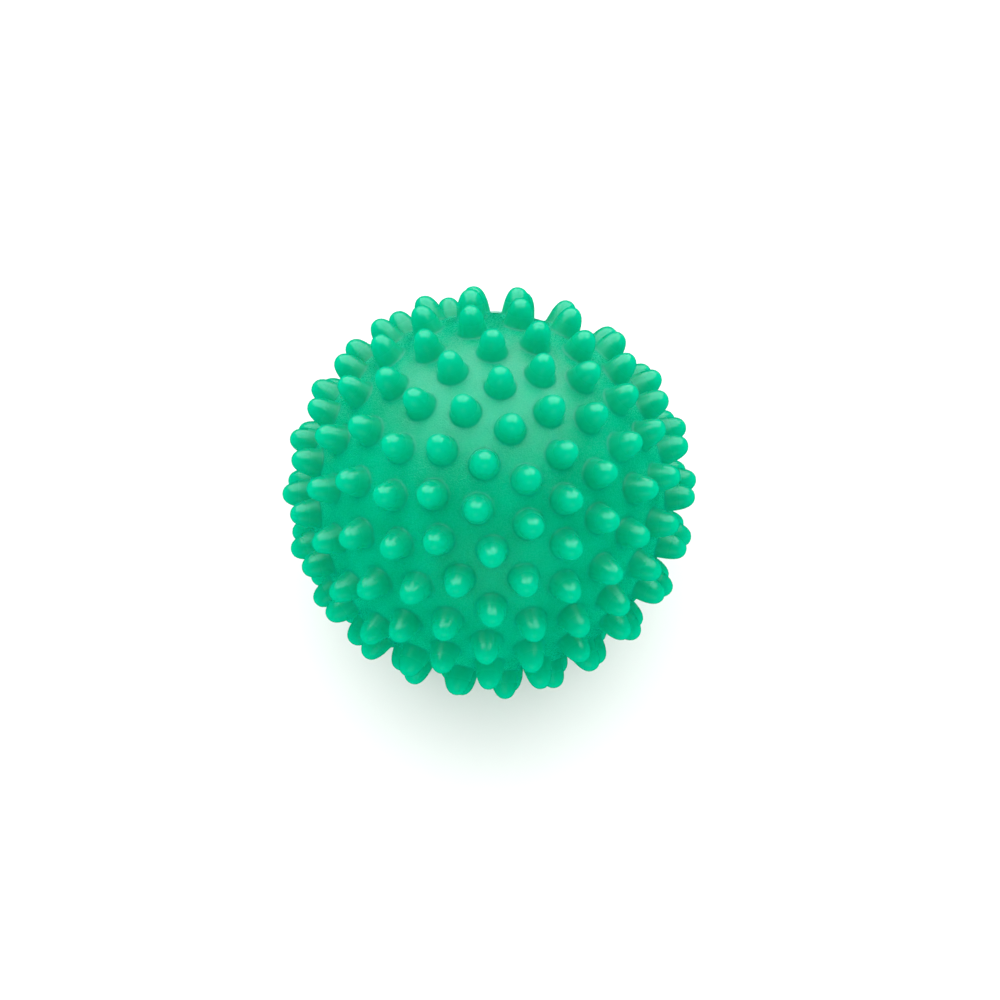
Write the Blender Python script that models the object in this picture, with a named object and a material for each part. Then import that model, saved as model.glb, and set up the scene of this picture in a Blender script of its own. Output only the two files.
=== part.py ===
"""Air-filled massage ball with 199 round-tipped nubs, a moulded-in valve bush and a pull-out valve plug.

Units are metres and +Z is up, with the ball lying as it would on a table. The origin is the ball's centre, and
the valve points along +Y. The nubs stand in rows round the mould axis, from one pole nub to the other, and the
valve takes the place of the first nub of one row.
"""

import math

import bmesh
import bpy
from mathutils import Matrix, Vector

# Ball
TIP_RADIUS = 0.045  # from the centre to the nub tips
NUB_HEIGHT = 0.0061
SKIN_RADIUS = TIP_RADIUS - NUB_HEIGHT
WALL = 0.002
CAVITY_RADIUS = SKIN_RADIUS - WALL
CAVITY_SUBDIVISIONS = 4

# Nubs: (share of the nub's height, radius) of each ring below the tip
NUB_RINGS = ((0.0, 0.0037), (0.5, 0.0029), (0.82, 0.0020))
NUB_SIDES = 6

# Nub rows from pole to pole: how many nubs, and the first one's turn about the mould axis from the valve
ROW_COUNTS = (1, 6, 12, 17, 20, 21, 23, 23, 21, 20, 17, 12, 6, 1)
ROW_TURNS = (0.0, 15.6, 18.15, 15.4, 11.2, 11.4, 6.25, 14.3, 0.0, 9.0, 1.9, 9.8, 20.0, 0.0)
ROW_STEP = math.pi / (len(ROW_COUNTS) - 1)
VALVE_ROW = 8
AXIS_LEAN = math.radians(26.7)  # the mould axis's turn about the valve, from upright towards +X

# Valve: distances are from the ball's centre, along the valve's axis
GAP = 0.0003  # between pieces that touch
LAND_RADIUS = 0.0050
LAND_LEVEL = 0.0386
NECK_RADIUS = 0.0060
NECK_END = 0.0282
NECK_BORE_RADIUS = 0.0040
BUSH_BORE_RADIUS = 0.0020
FLANGE_RADIUS = 0.0046
FLANGE_THICKNESS = 0.0009
HEAD_RADIUS = 0.0035
HEAD_THICKNESS = 0.0014
HEAD_CHAMFER = 0.0004
STEM_RADIUS = 0.0014
STEM_LENGTH = 0.0090
BEAD_LENGTH = 0.0024  # the fat part of the stem that grips the bush
BEAD_START = 0.0052  # from the head to the bead
STEM_TIP_RADIUS = 0.0009

ROUND_SIDES = 48
BEYOND = 0.01  # how far a cutter runs past what it cuts


def clear_scene():
    for item in list(bpy.data.objects):
        bpy.data.objects.remove(item)


def material(name, colour, roughness):
    made = bpy.data.materials.new(name)
    made.use_nodes = True
    shader = made.node_tree.nodes["Principled BSDF"]
    shader.inputs["Base Color"].default_value = (*colour, 1.0)
    shader.inputs["Roughness"].default_value = roughness
    shader.inputs["Metallic"].default_value = 0.0
    return made


def mesh_from(name, bm):
    bmesh.ops.recalc_face_normals(bm, faces=bm.faces)
    made = bpy.data.meshes.new(name)
    bm.to_mesh(made)
    bm.free()
    return made


def add_part(name, mesh, finish):
    made = bpy.data.objects.new(name, mesh)
    bpy.context.collection.objects.link(made)
    mesh.materials.append(finish)
    return made


def add_cutter(name, mesh):
    made = bpy.data.objects.new(name, mesh)
    bpy.context.collection.objects.link(made)
    made.hide_render = True
    made.display_type = "WIRE"
    return made


def cut(target, cutter):
    modifier = target.modifiers.new(cutter.name, "BOOLEAN")
    modifier.operation = "DIFFERENCE"
    modifier.solver = "EXACT"
    modifier.object = cutter


def turned(name, profile):
    """A solid turned about the valve's axis, from (radius, distance from the ball's centre) corners."""
    bm = bmesh.new()
    rings = []
    for radius, distance in profile:
        if radius == 0:
            rings.append([bm.verts.new((0, distance, 0))])
            continue
        turns = [place * math.tau / ROUND_SIDES for place in range(ROUND_SIDES)]
        rings.append(
            [bm.verts.new((radius * math.cos(turn), distance, radius * math.sin(turn))) for turn in turns]
        )
    if profile[0][0] != 0:
        rings.append(rings[0])
    for first, second in zip(rings, rings[1:]):
        for place in range(ROUND_SIDES):
            after = (place + 1) % ROUND_SIDES
            corners = [
                first[place % len(first)],
                first[after % len(first)],
                second[after % len(second)],
                second[place % len(second)],
            ]
            bm.faces.new(list(dict.fromkeys(corners)))
    return mesh_from(name, bm)


def mould_frame():
    """Z runs up the mould axis, and X points from it towards the valve."""
    tilt = VALVE_ROW * ROW_STEP
    valve = Vector((0, 1, 0))
    side = Vector((math.sin(AXIS_LEAN), 0, math.cos(AXIS_LEAN)))
    pole = valve * math.cos(tilt) + side * math.sin(tilt)
    meridian = (valve - pole * math.cos(tilt)).normalized()
    return Matrix((meridian, pole.cross(meridian), pole)).transposed()


def nub_directions():
    """The outward direction of every nub, without the one that the valve replaces."""
    frame = mould_frame()
    directions = []
    for row, (count, turn) in enumerate(zip(ROW_COUNTS, ROW_TURNS)):
        tilt = row * ROW_STEP
        for place in range(count):
            around = math.radians(turn) + place * math.tau / count
            if (row, place) != (VALVE_ROW, 0):
                spot = (math.sin(tilt) * math.cos(around), math.sin(tilt) * math.sin(around), math.cos(tilt))
                directions.append(frame @ Vector(spot))
    return directions


def nub_ring(direction, share, radius):
    across = direction.orthogonal().normalized()
    along = direction.cross(across)
    foot_level = math.sqrt(SKIN_RADIUS**2 - NUB_RINGS[0][1] ** 2)
    level = foot_level + share * (TIP_RADIUS - foot_level)
    turns = [place * math.tau / NUB_SIDES for place in range(NUB_SIDES)]
    return [
        direction * level + (across * math.cos(turn) + along * math.sin(turn)) * radius for turn in turns
    ]


def raise_nub(bm, direction, foot):
    """Takes off the flat cap inside a nub's foot and builds the nub there."""
    corners = set(foot)
    caps = {face for corner in foot for face in corner.link_faces if corners.issuperset(face.verts)}
    bmesh.ops.delete(bm, geom=list(caps), context="FACES")
    for share, radius in NUB_RINGS[1:]:
        ring = [bm.verts.new(point) for point in nub_ring(direction, share, radius)]
        for place in range(NUB_SIDES):
            after = (place + 1) % NUB_SIDES
            bm.faces.new((foot[place], foot[after], ring[after], ring[place]))
        foot = ring
    tip = bm.verts.new(direction * TIP_RADIUS)
    for place in range(NUB_SIDES):
        bm.faces.new((foot[place], foot[(place + 1) % NUB_SIDES], tip))


def nubbed_ball():
    """The skin stretched between the nubs' feet and round the valve's flat land, with a nub on every foot."""
    bm = bmesh.new()
    directions = nub_directions()
    feet = [[bm.verts.new(point) for point in nub_ring(direction, *NUB_RINGS[0])] for direction in directions]
    for place in range(ROUND_SIDES):
        turn = place * math.tau / ROUND_SIDES
        bm.verts.new((LAND_RADIUS * math.cos(turn), LAND_LEVEL, LAND_RADIUS * math.sin(turn)))
    bmesh.ops.convex_hull(bm, input=bm.verts)
    for direction, foot in zip(directions, feet):
        raise_nub(bm, direction, foot)
    loose = [edge for edge in bm.edges if not edge.link_faces]
    bmesh.ops.delete(bm, geom=loose, context="EDGES")
    return mesh_from("ball_skin", bm)


def cavity_ball():
    bm = bmesh.new()
    bmesh.ops.create_icosphere(bm, subdivisions=CAVITY_SUBDIVISIONS, radius=CAVITY_RADIUS)
    return mesh_from("cavity", bm)


clear_scene()

green_vinyl = material("green_vinyl", (0.0, 0.55, 0.32), 0.4)
bush_vinyl = material("bush_vinyl", (0.0, 0.40, 0.23), 0.45)
plug_vinyl = material("plug_vinyl", (0.70, 0.85, 0.78), 0.4)

# The skin holds a thick neck inside it round the valve, so the neck comes out of the cavity first.
neck_profile = ((0, NECK_END), (NECK_RADIUS, NECK_END), (NECK_RADIUS, TIP_RADIUS), (0, TIP_RADIUS))
neck = add_cutter("neck", turned("neck", neck_profile))
cavity = add_cutter("cavity", cavity_ball())
cut(cavity, neck)

bore_profile = (
    (0, NECK_END - BEYOND),
    (NECK_BORE_RADIUS, NECK_END - BEYOND),
    (NECK_BORE_RADIUS, LAND_LEVEL + BEYOND),
    (0, LAND_LEVEL + BEYOND),
)
bore = add_cutter("bore", turned("bore", bore_profile))

ball_skin = add_part("ball_skin", nubbed_ball(), green_vinyl)
cut(ball_skin, cavity)
cut(ball_skin, bore)

flange_level = LAND_LEVEL + GAP
flange_top = flange_level + FLANGE_THICKNESS
sleeve_radius = NECK_BORE_RADIUS - GAP
bush_profile = (
    (BUSH_BORE_RADIUS, NECK_END + GAP),
    (sleeve_radius, NECK_END + GAP),
    (sleeve_radius, flange_level),
    (FLANGE_RADIUS, flange_level),
    (FLANGE_RADIUS, flange_top),
    (BUSH_BORE_RADIUS, flange_top),
)
add_part("valve_bush", turned("valve_bush", bush_profile), bush_vinyl)

head_level = flange_top + GAP
head_top = head_level + HEAD_THICKNESS
bead_top = head_level - BEAD_START
bead_radius = BUSH_BORE_RADIUS - GAP
plug_profile = (
    (0, head_level - STEM_LENGTH),
    (STEM_TIP_RADIUS, head_level - STEM_LENGTH),
    (STEM_RADIUS, bead_top - BEAD_LENGTH),
    (bead_radius, bead_top - BEAD_LENGTH * 0.65),
    (bead_radius, bead_top - BEAD_LENGTH * 0.35),
    (STEM_RADIUS, bead_top),
    (STEM_RADIUS, head_level),
    (HEAD_RADIUS, head_level),
    (HEAD_RADIUS, head_top - HEAD_CHAMFER),
    (HEAD_RADIUS - HEAD_CHAMFER, head_top),
    (0, head_top),
)
add_part("valve_plug", turned("valve_plug", plug_profile), plug_vinyl)
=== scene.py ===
"""Fine surfaces, materials, light and camera for the massage ball."""

import math

import bmesh
import bpy
from mathutils import Matrix, Vector, noise


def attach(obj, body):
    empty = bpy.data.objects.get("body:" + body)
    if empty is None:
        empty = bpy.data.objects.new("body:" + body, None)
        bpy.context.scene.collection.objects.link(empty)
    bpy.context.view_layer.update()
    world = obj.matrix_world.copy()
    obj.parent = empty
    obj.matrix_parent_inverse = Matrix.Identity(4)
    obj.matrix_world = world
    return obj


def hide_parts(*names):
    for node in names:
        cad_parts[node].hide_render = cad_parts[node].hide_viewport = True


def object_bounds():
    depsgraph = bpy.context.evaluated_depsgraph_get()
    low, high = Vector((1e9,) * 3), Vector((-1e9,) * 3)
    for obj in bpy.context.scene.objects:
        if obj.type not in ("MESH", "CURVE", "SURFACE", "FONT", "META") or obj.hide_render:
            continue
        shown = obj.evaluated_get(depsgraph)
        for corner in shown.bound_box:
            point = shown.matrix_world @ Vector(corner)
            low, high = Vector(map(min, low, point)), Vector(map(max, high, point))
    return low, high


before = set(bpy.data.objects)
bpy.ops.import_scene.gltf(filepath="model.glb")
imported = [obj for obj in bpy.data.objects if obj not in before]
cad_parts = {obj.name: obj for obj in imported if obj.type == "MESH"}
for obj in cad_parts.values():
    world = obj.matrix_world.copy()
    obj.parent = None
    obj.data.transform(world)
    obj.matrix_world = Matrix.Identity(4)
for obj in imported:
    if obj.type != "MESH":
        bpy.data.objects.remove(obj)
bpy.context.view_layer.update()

MILLIMETRES = 1000  # in a metre

# Ball, in metres
TIP_RADIUS = 0.045
NUB_HEIGHT = 0.0061
SKIN_RADIUS = TIP_RADIUS - NUB_HEIGHT
CAVITY_RADIUS = SKIN_RADIUS - 0.002

# Nub rows from pole to pole: how many nubs, and the first one's turn about the mould axis from the valve,
# in degrees
ROW_COUNTS = (1, 6, 12, 17, 20, 21, 23, 23, 21, 20, 17, 12, 6, 1)
ROW_TURNS = (0.0, 15.6, 18.15, 15.4, 11.2, 11.4, 6.25, 14.3, 0.0, 9.0, 1.9, 9.8, 20.0, 0.0)
ROW_STEP = math.pi / (len(ROW_COUNTS) - 1)
VALVE_ROW = 8
AXIS_LEAN = math.radians(26.7)

# Nub outline from the tip to where its fillet meets the skin: (distance from the nub's axis, height), in mm
NUB_OUTLINE = (
    (0.0, 6.1),
    (0.68, 6.0),
    (1.28, 5.74),
    (1.78, 5.29),
    (2.17, 4.72),
    (2.48, 4.03),
    (2.72, 3.28),
    (2.9, 2.5),
    (3.03, 1.7),
    (3.13, 1.0),
    (3.2, 0.55),
    (3.28, 0.26),
    (3.4, 0.1),
    (3.56, 0.03),
    (3.76, 0.0),
)
SKIN_RINGS = 3  # from the fillet out to halfway to the next nub
EDGE_STEP = 0.0013  # spacing of the points halfway between nubs, in metres
CORNER_MERGE = 0.008  # radians between corners that count as one

# How nubs differ: the largest difference, and the scale and offset of the noise that sets it
WIDTH_DIFFERENCE = 0.03
WIDTH_NOISE = (40, (0, 0, 0))
HEIGHT_LOSS = 0.012
HEIGHT_NOISE = (31, (7, 0, 0))
LEAN = 0.0006
LEAN_NOISES = ((23, (0, 5, 0)), (27, (0, 0, 9)))
LEAN_CURVE = 1.5
WIDTH_RISE = 4  # a nub's width differs in full above one part in this many of its height

# The name of each point's distance from its nub's axis, in mm, and the distance given to points of no nub
REACH = "reach"
BETWEEN_NUBS = 6.0
SKIN_TOLERANCE = 0.001  # metres above the skin within which a point is part of it

# Valve, in metres
LAND_RADIUS = 0.0050
LAND_LEVEL = 0.0386
LAND_MARGIN = 0.0003
LAND_EASE = 0.0002
NECK_RADIUS = 0.0060
NECK_END = 0.0282
NECK_BASE = 0.0352
NECK_EASE = 0.0005
NECK_FLARE = 0.0012
NECK_BORE_RADIUS = 0.0040
NECK_BORE_EASE = 0.0003
CAVITY_STEPS = 24
GAP = 0.0003
BUSH_BORE_RADIUS = 0.0020
BUSH_EASE = 0.0003
FLANGE_RADIUS = 0.0046
FLANGE_THICKNESS = 0.0009
FLANGE_LEVEL = LAND_LEVEL + GAP
FLANGE_TOP = FLANGE_LEVEL + FLANGE_THICKNESS
HEAD_RADIUS = 0.0035
HEAD_THICKNESS = 0.0014
HEAD_LEVEL = FLANGE_TOP + GAP
STEM_RADIUS = 0.0014
STEM_LENGTH = 0.0090
STEM_TIP_RADIUS = 0.0009
BEAD_LENGTH = 0.0024
BEAD_START = 0.0052
BEAD_SLOPES = (0.65, 0.35)  # shares of the bead's length where its slopes end
PLUG_EASE = 0.0005
VALVE_SIDES = 96
EASE_STEPS = 4
EASE_LIMIT = 0.4  # the largest share of a side that an eased corner takes
ON_AXIS = 1e-6

# Colours
BALL_GREEN = (0.0, 0.4, 0.21)
BALL_DEEP_GREEN = (0.0, 0.352, 0.174)
# Painted light: the green of the nub tips, lighter than the skin's so that the nub feet and the skin between
# nubs look shaded
PAINTED_LIT_NUB_GREEN = (0.0, 0.41, 0.235)
BUSH_GREEN = (0.0, 0.305, 0.17)
BUSH_DEEP_GREEN = (0.0, 0.255, 0.136)
PLUG_PALE = (0.27, 0.39, 0.35)
PLUG_DEEP_PALE = (0.23, 0.355, 0.305)

# Vinyl
SCATTER_COLOURS = (0.2, 1.0, 0.7)
SCATTER_DEPTH = 0.003
VINYL_IOR = 1.5
MIRRORED_TINT = (0.6, 1.0, 1.0, 1.0)
MOTTLE_DETAIL = 3
MOTTLE_RANGE = (0.3, 0.7)
BALL_MOTTLE_SCALE = 90
VALVE_MOTTLE_SCALE = 500

# Grain
GRAIN_DETAIL = 2
GRAIN_DEPTH = 0.0002
BALL_GRAIN_SCALE = 3100
VALVE_GRAIN_SCALE = 3200
NUB_GRAIN = 0.16
SKIN_GRAIN = 0.5
VALVE_GRAIN = 0.25

# Gloss. Ranges of reach are in mm from the nub's axis.
BALL_SPECULAR = 0.34
TIP_ROUGHNESS = 0.2
FILLET_ROUGHNESS = 0.5
SIDE_REACH = (2.6, 3.3)
SKIN_REACH = (3.4, 4.0)
SKIN_SPECK = (0.44, 0.56)
SKIN_SMOOTHING = (0.12, 0.36)  # how much smoother than the fillet the skin is, over the range of its speckle
GRAIN_REACH = (2.4, 4.0)
# Painted shade: over this reach the nubs' lighter green fades into the skin's, darker towards the nub feet and
# between the nubs
PAINTED_SHADE_REACH = (1.6, 3.6)
PAINTED_SHADE_SHARE = 0.8
BUSH_ROUGHNESS = 0.32
PLUG_ROUGHNESS = 0.28
VALVE_SPECK = (0.3, 0.7)
VALVE_ROUGHNESS_RANGE = 0.12

# Camera, which looks down on the ball from in front
AZIMUTH = math.radians(2.3)
ELEVATION = math.radians(68.6)
DISTANCE = 1.07
FOCAL_LENGTH = 177.7
SENSOR_WIDTH = 36
FARTHEST = 20
AIM_RIGHT = 0.0022
AIM_DOWN = 0.0017

# Softboxes: name, degrees up the picture from the camera, width, height, and brightness as gloss and as fill
SOFTBOXES = (
    ("back_softbox", 68, 2.2, 1.9, 4.1, 2.0),
    ("front_softbox", -50, 1.0, 0.8, 0.45, 0.23),
)
SOFTBOX_DISTANCE = 1.1
SURROUNDINGS = 1.52
FLOOR_WHITENESS = 0.83
FLOOR_SIZE = 4


def object_from(name, bm, smooth=True):
    bmesh.ops.recalc_face_normals(bm, faces=bm.faces)
    mesh = bpy.data.meshes.new(name)
    bm.to_mesh(mesh)
    bm.free()
    for polygon in mesh.polygons:
        polygon.use_smooth = smooth
    made = bpy.data.objects.new(name, mesh)
    bpy.context.scene.collection.objects.link(made)
    return made


def square_to(direction):
    """Two directions square to this one and to each other."""
    across = direction.orthogonal().normalized()
    return across, direction.cross(across)


def mould_frame():
    """Z runs up the mould axis, and X points from it towards the valve."""
    tilt = VALVE_ROW * ROW_STEP
    valve = Vector((0, 1, 0))
    side = Vector((math.sin(AXIS_LEAN), 0, math.cos(AXIS_LEAN)))
    pole = valve * math.cos(tilt) + side * math.sin(tilt)
    meridian = (valve - pole * math.cos(tilt)).normalized()
    return Matrix((meridian, pole.cross(meridian), pole)).transposed()


def cell_centres():
    """The direction of every nub, with the valve's direction first."""
    turn = mould_frame()
    centres = [Vector((0, 1, 0))]
    for row, (count, first) in enumerate(zip(ROW_COUNTS, ROW_TURNS)):
        tilt = row * ROW_STEP
        for place in range(count):
            around = math.radians(first) + place * math.tau / count
            if (row, place) != (VALVE_ROW, 0):
                spot = (math.sin(tilt) * math.cos(around), math.sin(tilt) * math.sin(around), math.cos(tilt))
                centres.append(turn @ Vector(spot))
    return centres


def index_near(points, corner):
    """The index of the point that this corner counts as, or the next free index."""
    for index, point in enumerate(points):
        if (point - corner).length < CORNER_MERGE:
            return index
    return len(points)


def cell_borders(centres):
    """The directions along the borders between cells, and for each centre its own border in order round it.

    A border is a list of indices into the directions, so that neighbouring cells join without a gap.
    """
    bm = bmesh.new()
    for centre in centres:
        bm.verts.new(centre)
    bm.verts.ensure_lookup_table()
    bmesh.ops.convex_hull(bm, input=bm.verts)
    bmesh.ops.triangulate(bm, faces=bm.faces)
    bmesh.ops.recalc_face_normals(bm, faces=bm.faces)
    bm.faces.index_update()
    bm.verts.ensure_lookup_table()
    points = []
    corner_of = {}
    for face in bm.faces:
        corner = face.normal.normalized()
        index = index_near(points, corner)
        corner_of[face.index] = index
        if index == len(points):
            points.append(corner)
    between = {}
    for edge in bm.edges:
        first, second = sorted(face.index for face in edge.link_faces)
        start, end = points[corner_of[first]], points[corner_of[second]]
        steps = max(1, round(start.angle(end, 0.0) * SKIN_RADIUS / EDGE_STEP))
        run = []
        for step in range(1, steps):
            run.append(len(points))
            points.append(start.slerp(end, step / steps))
        between[first, second] = run
    borders = [border_round(vertex, corner_of, between) for vertex in bm.verts]
    bm.free()
    return points, borders


def border_round(vertex, corner_of, between):
    """The indices along one cell's border. Each face of the hull gives it a corner."""
    across, along = square_to(vertex.co.normalized())

    def turn_of(face):
        spoke = face.calc_center_median() - vertex.co
        return math.atan2(spoke.dot(along), spoke.dot(across))

    around = sorted(vertex.link_faces, key=turn_of)
    border = []
    for face, after in zip(around, around[1:] + around[:1]):
        if corner_of[face.index] == corner_of[after.index]:
            continue
        border.append(corner_of[face.index])
        key = tuple(sorted((face.index, after.index)))
        run = between[key]
        border.extend(run if key[0] == face.index else reversed(run))
    return border


def clear_land(valve, points, border):
    """Moves the valve cell's border out past the flat land round the valve."""
    least = (LAND_RADIUS + LAND_MARGIN) / SKIN_RADIUS
    for index in border:
        point = points[index]
        sideways = (point - valve * point.dot(valve)).normalized()
        away = max(point.angle(valve), least)
        points[index] = valve * math.cos(away) + sideways * math.sin(away)


def bridge(bm, outer, inner):
    for place in range(len(outer)):
        after = (place + 1) % len(outer)
        bm.faces.new((outer[place], outer[after], inner[after], inner[place]))


def close_ring(bm, ring, tip):
    for place in range(len(ring)):
        bm.faces.new((ring[place], ring[(place + 1) % len(ring)], tip))


def add_rings(bm, centre, units, outline, ring_before):
    """Rings round the centre's axis at each (radius, level) of the outline. Returns the last one."""
    for radius, level in outline:
        ring_now = [bm.verts.new(centre * level + unit * radius) for unit in units]
        bridge(bm, ring_before, ring_now)
        ring_before = ring_now
    return ring_before


def add_skin(bm, centre, units, reach, inner_radius, ring_before):
    """Skin from the cell's border in to a round ring of this radius, which is returned."""
    reach_layer = bm.verts.layers.float[REACH]
    for ring in range(SKIN_RINGS - 1, -1, -1):
        share = ring / SKIN_RINGS
        ring_now = []
        for unit, far in zip(units, reach):
            radius = inner_radius + (far - inner_radius) * share
            level = math.sqrt(SKIN_RADIUS**2 - radius**2)
            made = bm.verts.new(centre * level + unit * radius)
            made[reach_layer] = radius * MILLIMETRES
            ring_now.append(made)
        bridge(bm, ring_before, ring_now)
        ring_before = ring_now
    return ring_before


def difference(centre, scale, offset):
    """A number between -1 and 1 that differs from nub to nub."""
    return noise.noise(centre * scale + Vector(offset))


def add_nub_cell(bm, centre, units, reach, outer):
    """Skin that runs in to a nub's fillet, and the nub, which differs slightly from the others."""
    reach_layer = bm.verts.layers.float[REACH]
    swell = 1 + WIDTH_DIFFERENCE * difference(centre, *WIDTH_NOISE)
    height = 1 - HEIGHT_LOSS * (1 + difference(centre, *HEIGHT_NOISE))
    across, along = square_to(centre)
    over, beside = (difference(centre, *settings) for settings in LEAN_NOISES)
    lean = (across * over + along * beside) * LEAN
    ring_before = add_skin(bm, centre, units, reach, NUB_OUTLINE[-1][0] / MILLIMETRES, outer)
    for distance, rise in reversed(NUB_OUTLINE[1:-1]):
        radius = distance / MILLIMETRES
        share = rise / NUB_OUTLINE[0][1]
        level = math.sqrt(SKIN_RADIUS**2 - radius**2) + rise / MILLIMETRES * height
        widened = radius * (1 + (swell - 1) * min(1, share * WIDTH_RISE))
        middle = centre * level
        bend = lean * share**LEAN_CURVE
        ring_now = [bm.verts.new(middle + unit * widened + bend) for unit in units]
        for made in ring_now:
            made[reach_layer] = distance
        bridge(bm, ring_before, ring_now)
        ring_before = ring_now
    tip = bm.verts.new(centre * (SKIN_RADIUS + NUB_HEIGHT * height) + lean)
    close_ring(bm, ring_before, tip)


def add_valve_cell(bm, centre, units, reach, outer):
    """Skin that runs in to the valve's flat land, and the land in to the bore. Returns the bore's rim."""
    land_edge = add_skin(bm, centre, units, reach, LAND_RADIUS, outer)
    outline = (
        (LAND_RADIUS - LAND_EASE, LAND_LEVEL),
        (NECK_BORE_RADIUS + NECK_BORE_EASE, LAND_LEVEL),
        (NECK_BORE_RADIUS, LAND_LEVEL - NECK_BORE_EASE),
    )
    return add_rings(bm, centre, units, outline, land_edge)


def add_inside(bm, centre, units, rim):
    """The bore, the neck inside the ball and the cavity's wall."""
    outline = [
        (NECK_BORE_RADIUS, NECK_END),
        (NECK_RADIUS - NECK_EASE, NECK_END),
        (NECK_RADIUS, NECK_END + NECK_EASE),
        (NECK_RADIUS, NECK_BASE),
    ]
    start = math.asin((NECK_RADIUS + NECK_FLARE) / CAVITY_RADIUS)
    for step in range(CAVITY_STEPS):
        turn = start + (math.pi - start) * step / CAVITY_STEPS
        outline.append((CAVITY_RADIUS * math.sin(turn), CAVITY_RADIUS * math.cos(turn)))
    last = add_rings(bm, centre, units, outline, rim)
    close_ring(bm, last, bm.verts.new(centre * -CAVITY_RADIUS))


def build_skin():
    centres = cell_centres()
    points, borders = cell_borders(centres)
    clear_land(centres[0], points, borders[0])
    bm = bmesh.new()
    reach_layer = bm.verts.layers.float.new(REACH)
    edge_verts = [bm.verts.new(point * SKIN_RADIUS) for point in points]
    inside = None
    for centre, border in zip(centres, borders):
        across, along = square_to(centre)
        spokes = [(points[index].dot(across), points[index].dot(along)) for index in border]
        sizes = [math.hypot(*spoke) for spoke in spokes]
        units = [across * (x / size) + along * (y / size) for (x, y), size in zip(spokes, sizes)]
        reach = [size * SKIN_RADIUS for size in sizes]
        outer = [edge_verts[index] for index in border]
        if inside is None:
            inside = (centre, units, add_valve_cell(bm, centre, units, reach, outer))
        else:
            add_nub_cell(bm, centre, units, reach, outer)
    for vert in bm.verts:
        if vert[reach_layer] == 0 and vert.co.length < SKIN_RADIUS + SKIN_TOLERANCE:
            vert[reach_layer] = BETWEEN_NUBS
    add_inside(bm, *inside)
    return object_from("nubbed_skin", bm)


def rounded(corners, size, closed):
    """The outline with each corner eased off over this distance along its two sides."""
    line = []
    for place, corner in enumerate(corners):
        if not closed and place in (0, len(corners) - 1):
            line.append(corner)
            continue
        here = Vector(corner)
        before = Vector(corners[place - 1])
        after = Vector(corners[(place + 1) % len(corners)])
        start = here + (before - here) * min(EASE_LIMIT, size / (before - here).length)
        end = here + (after - here) * min(EASE_LIMIT, size / (after - here).length)
        for step in range(EASE_STEPS + 1):
            share = step / EASE_STEPS
            line.append(tuple(start.lerp(here, share).lerp(here.lerp(end, share), share)))
    return line


def turned(name, line, closed):
    """The outline turned round the valve's axis. Its points are (radius, level)."""
    bm = bmesh.new()
    rings = []
    for radius, level in line:
        if radius < ON_AXIS:
            rings.append([bm.verts.new((0, level, 0))] * VALVE_SIDES)
            continue
        ring = []
        for side in range(VALVE_SIDES):
            turn = math.tau * side / VALVE_SIDES
            ring.append(bm.verts.new((radius * math.sin(turn), level, radius * math.cos(turn))))
        rings.append(ring)
    pairs = list(zip(rings, rings[1:]))
    if closed:
        pairs.append((rings[-1], rings[0]))
    for first, second in pairs:
        for side in range(VALVE_SIDES):
            after = (side + 1) % VALVE_SIDES
            corners = (first[side], first[after], second[after], second[side])
            bm.faces.new(list(dict.fromkeys(corners)))
    return object_from(name, bm)


def build_bush():
    sleeve_radius = NECK_BORE_RADIUS - GAP
    outline = (
        (BUSH_BORE_RADIUS, NECK_END + GAP),
        (sleeve_radius, NECK_END + GAP),
        (sleeve_radius, FLANGE_LEVEL),
        (FLANGE_RADIUS, FLANGE_LEVEL),
        (FLANGE_RADIUS, FLANGE_TOP),
        (BUSH_BORE_RADIUS, FLANGE_TOP),
    )
    return turned("valve_bush_fine", rounded(outline, BUSH_EASE, True), True)


def build_plug():
    stem_end = HEAD_LEVEL - STEM_LENGTH
    head_top = HEAD_LEVEL + HEAD_THICKNESS
    bead_top = HEAD_LEVEL - BEAD_START
    bead_radius = BUSH_BORE_RADIUS - GAP
    outline = (
        (0, stem_end),
        (STEM_TIP_RADIUS, stem_end),
        (STEM_RADIUS, bead_top - BEAD_LENGTH),
        (bead_radius, bead_top - BEAD_LENGTH * BEAD_SLOPES[0]),
        (bead_radius, bead_top - BEAD_LENGTH * BEAD_SLOPES[1]),
        (STEM_RADIUS, bead_top),
        (STEM_RADIUS, HEAD_LEVEL),
        (HEAD_RADIUS, HEAD_LEVEL),
        (HEAD_RADIUS, head_top),
        (0, head_top),
    )
    return turned("valve_plug_fine", rounded(outline, PLUG_EASE, False), False)


def node(tree, kind, **settings):
    made = tree.nodes.new(kind)
    for key, value in settings.items():
        setattr(made, key, value)
    return made


def ramp(tree, value, span, low, high):
    """A smooth step of a value, from low at the span's start to high at its end."""
    made = node(tree, "ShaderNodeMapRange", interpolation_type="SMOOTHSTEP")
    made.inputs["From Min"].default_value = span[0]
    made.inputs["From Max"].default_value = span[1]
    made.inputs["To Min"].default_value = low
    made.inputs["To Max"].default_value = high
    tree.links.new(value, made.inputs["Value"])
    return made.outputs["Result"]


def combine(tree, operation, first, second):
    made = node(tree, "ShaderNodeMath", operation=operation)
    for socket, value in zip(made.inputs, (first, second)):
        if isinstance(value, float):
            socket.default_value = value
        else:
            tree.links.new(value, socket)
    return made.outputs["Value"]


def speckle(tree, scale, detail):
    """Noise fixed to the object, between 0 and 1."""
    place = node(tree, "ShaderNodeTexCoord")
    made = node(tree, "ShaderNodeTexNoise")
    made.inputs["Scale"].default_value = scale
    made.inputs["Detail"].default_value = detail
    tree.links.new(place.outputs["Object"], made.inputs["Vector"])
    return made.outputs["Fac"]


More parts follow.
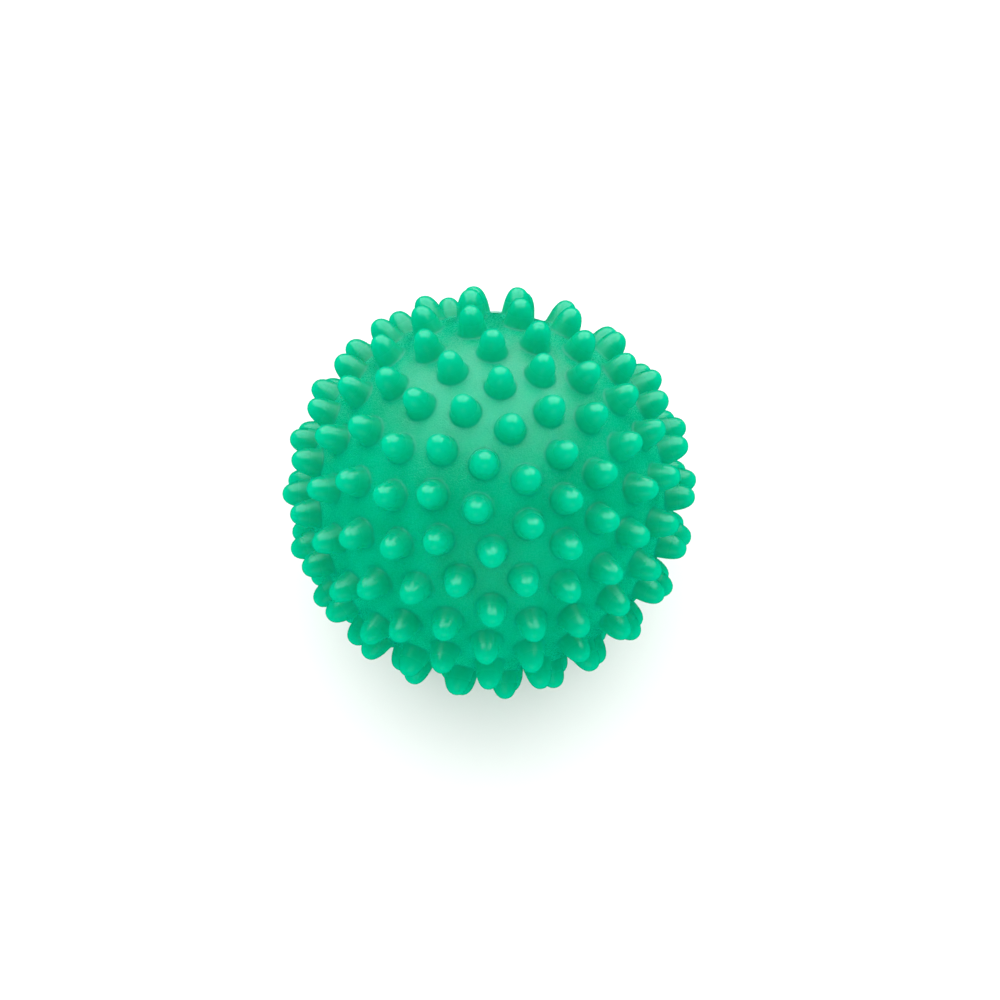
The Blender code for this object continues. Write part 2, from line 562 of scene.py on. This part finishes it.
def vinyl(name, colour, deep_colour, mottle_scale):
    """Soft see-into vinyl with a faint mottle. Returns the material, its node tree, shader and colour."""
    made = bpy.data.materials.new(name)
    made.use_nodes = True
    tree = made.node_tree
    shader = tree.nodes["Principled BSDF"]
    mottle = speckle(tree, mottle_scale, MOTTLE_DETAIL)
    mix = node(tree, "ShaderNodeMix", data_type="RGBA")
    mix.inputs["A"].default_value = (*deep_colour, 1)
    mix.inputs["B"].default_value = (*colour, 1)
    tree.links.new(ramp(tree, mottle, MOTTLE_RANGE, 0.0, 1.0), mix.inputs["Factor"])
    tree.links.new(mix.outputs["Result"], shader.inputs["Base Color"])
    shader.inputs["Subsurface Weight"].default_value = 1.0
    shader.inputs["Subsurface Radius"].default_value = SCATTER_COLOURS
    shader.inputs["Subsurface Scale"].default_value = SCATTER_DEPTH
    shader.inputs["IOR"].default_value = VINYL_IOR
    shader.inputs["Specular Tint"].default_value = MIRRORED_TINT
    return made, tree, shader, mix.outputs["Result"]


def grain(tree, shader, scale, strength):
    """A fine moulded grain, as deep as its strength says. Returns its noise."""
    speck = speckle(tree, scale, GRAIN_DETAIL)
    bump = node(tree, "ShaderNodeBump")
    bump.inputs["Distance"].default_value = GRAIN_DEPTH
    if isinstance(strength, float):
        bump.inputs["Strength"].default_value = strength
    else:
        tree.links.new(strength, bump.inputs["Strength"])
    tree.links.new(speck, bump.inputs["Height"])
    tree.links.new(bump.outputs["Normal"], shader.inputs["Normal"])
    return speck


def ball_vinyl():
    """Smooth nub tips, rougher fillets, and skin with a fine grain between the nubs. Painted shade: nub tips
    are tinted lighter, fading darker towards their feet and the skin between them.
    """
    made, tree, shader, skin_colour = vinyl("green_vinyl_ball", BALL_GREEN, BALL_DEEP_GREEN, BALL_MOTTLE_SCALE)
    reach = node(tree, "ShaderNodeAttribute", attribute_name=REACH).outputs["Fac"]
    # Painted shade: nubs tinted lighter at their tips, fading darker towards their feet and the skin between
    # them
    painted_shade_mix = node(tree, "ShaderNodeMix", data_type="RGBA")
    nub = ramp(tree, reach, PAINTED_SHADE_REACH, 1.0, 0.0)
    tree.links.new(combine(tree, "MULTIPLY", nub, PAINTED_SHADE_SHARE), painted_shade_mix.inputs["Factor"])
    tree.links.new(skin_colour, painted_shade_mix.inputs["A"])
    painted_shade_mix.inputs["B"].default_value = (*PAINTED_LIT_NUB_GREEN, 1)
    tree.links.new(painted_shade_mix.outputs["Result"], shader.inputs["Base Color"])

    nub_roughness = ramp(tree, reach, SIDE_REACH, TIP_ROUGHNESS, FILLET_ROUGHNESS)
    skin = ramp(tree, reach, SKIN_REACH, 0.0, 1.0)
    speck = grain(tree, shader, BALL_GRAIN_SCALE, ramp(tree, reach, GRAIN_REACH, NUB_GRAIN, SKIN_GRAIN))
    smoother = combine(tree, "MULTIPLY", skin, ramp(tree, speck, SKIN_SPECK, *SKIN_SMOOTHING))
    tree.links.new(combine(tree, "SUBTRACT", nub_roughness, smoother), shader.inputs["Roughness"])
    shader.inputs["Specular IOR Level"].default_value = BALL_SPECULAR
    return made


def valve_vinyl(name, colour, deep_colour, roughness):
    made, tree, shader, _ = vinyl(name, colour, deep_colour, VALVE_MOTTLE_SCALE)
    speck = grain(tree, shader, VALVE_GRAIN_SCALE, VALVE_GRAIN)
    rougher = roughness + VALVE_ROUGHNESS_RANGE
    tree.links.new(ramp(tree, speck, VALVE_SPECK, roughness, rougher), shader.inputs["Roughness"])
    return made


def white_floor():
    """Plain matt white."""
    made = bpy.data.materials.new("white_floor")
    made.use_nodes = True
    shader = made.node_tree.nodes["Principled BSDF"]
    shader.inputs["Base Color"].default_value = (FLOOR_WHITENESS, FLOOR_WHITENESS, FLOOR_WHITENESS, 1)
    shader.inputs["Roughness"].default_value = 1.0
    shader.inputs["Specular IOR Level"].default_value = 0.0
    return made


def softbox(name, direction, width, height, brightness):
    """A soft light that faces the ball. Brightness is its face's, next to a white floor's 1."""
    data = bpy.data.lights.new(name, "AREA")
    data.shape = "RECTANGLE"
    data.size = width
    data.size_y = height
    data.energy = brightness * math.pi * width * height
    made = bpy.data.objects.new(name, data)
    outward = direction.normalized()
    made.location = outward * SOFTBOX_DISTANCE
    made.rotation_euler = Matrix((right, direction.cross(right).normalized(), outward)).transposed().to_euler()
    made.visible_camera = False
    bpy.context.scene.collection.objects.link(made)
    return made


def up_from_camera(angle):
    """A direction in the camera's upright plane, this many degrees up the picture from the camera."""
    turn = math.radians(angle)
    return back * math.cos(turn) + up * math.sin(turn)


skin = build_skin()
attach(skin, "ball")
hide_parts("ball_skin")
skin.data.materials.append(ball_vinyl())

bush = build_bush()
bush.data.materials.append(valve_vinyl("green_vinyl_bush", BUSH_GREEN, BUSH_DEEP_GREEN, BUSH_ROUGHNESS))
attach(bush, "ball")
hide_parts("valve_bush")

plug = build_plug()
plug.data.materials.append(valve_vinyl("pale_vinyl_plug", PLUG_PALE, PLUG_DEEP_PALE, PLUG_ROUGHNESS))
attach(plug, "plug")
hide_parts("valve_plug")

# The camera's own directions: away from what it looks at, right and up
back = Vector(
    (
        math.sin(AZIMUTH) * math.cos(ELEVATION),
        -math.cos(AZIMUTH) * math.cos(ELEVATION),
        math.sin(ELEVATION),
    )
)
right = Vector((math.cos(AZIMUTH), math.sin(AZIMUTH), 0))
up = back.cross(right)
aim = right * AIM_RIGHT - up * AIM_DOWN

lens = bpy.data.cameras.new("camera")
lens.lens = FOCAL_LENGTH
lens.sensor_width = SENSOR_WIDTH
lens.clip_end = FARTHEST
camera = bpy.data.objects.new("camera", lens)
camera.location = aim + back * DISTANCE
camera.rotation_euler = Matrix((right, up, back)).transposed().to_euler()
bpy.context.scene.collection.objects.link(camera)
bpy.context.scene.camera = camera

# Wide softboxes with the camera in the gap between them. Each is two lights in one place: reflections see only
# one of them, and matt shading only the other.
for box_name, angle, width, height, gloss, fill in SOFTBOXES:
    direction = up_from_camera(angle)
    softbox(box_name + "_gloss", direction, width, height, gloss).visible_diffuse = False
    softbox(box_name + "_fill", direction, width, height, fill).visible_glossy = False

# White surroundings, which reflections don't see
world = bpy.data.worlds.new("studio")
world.use_nodes = True
world.node_tree.nodes["Background"].inputs["Color"].default_value = (1, 1, 1, 1)
world.node_tree.nodes["Background"].inputs["Strength"].default_value = SURROUNDINGS
world.cycles_visibility.glossy = False
bpy.context.scene.world = world

# Floor under the lowest nub, which reflections don't see either
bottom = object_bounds()[0][2]
bm = bmesh.new()
bmesh.ops.create_grid(bm, x_segments=2, y_segments=2, size=FLOOR_SIZE)
bmesh.ops.translate(bm, verts=bm.verts, vec=(0, 0, bottom))
floor = object_from("floor", bm, smooth=False)
floor.data.materials.append(white_floor())
floor.visible_glossy = False

bpy.context.scene.view_settings.view_transform = "Standard"
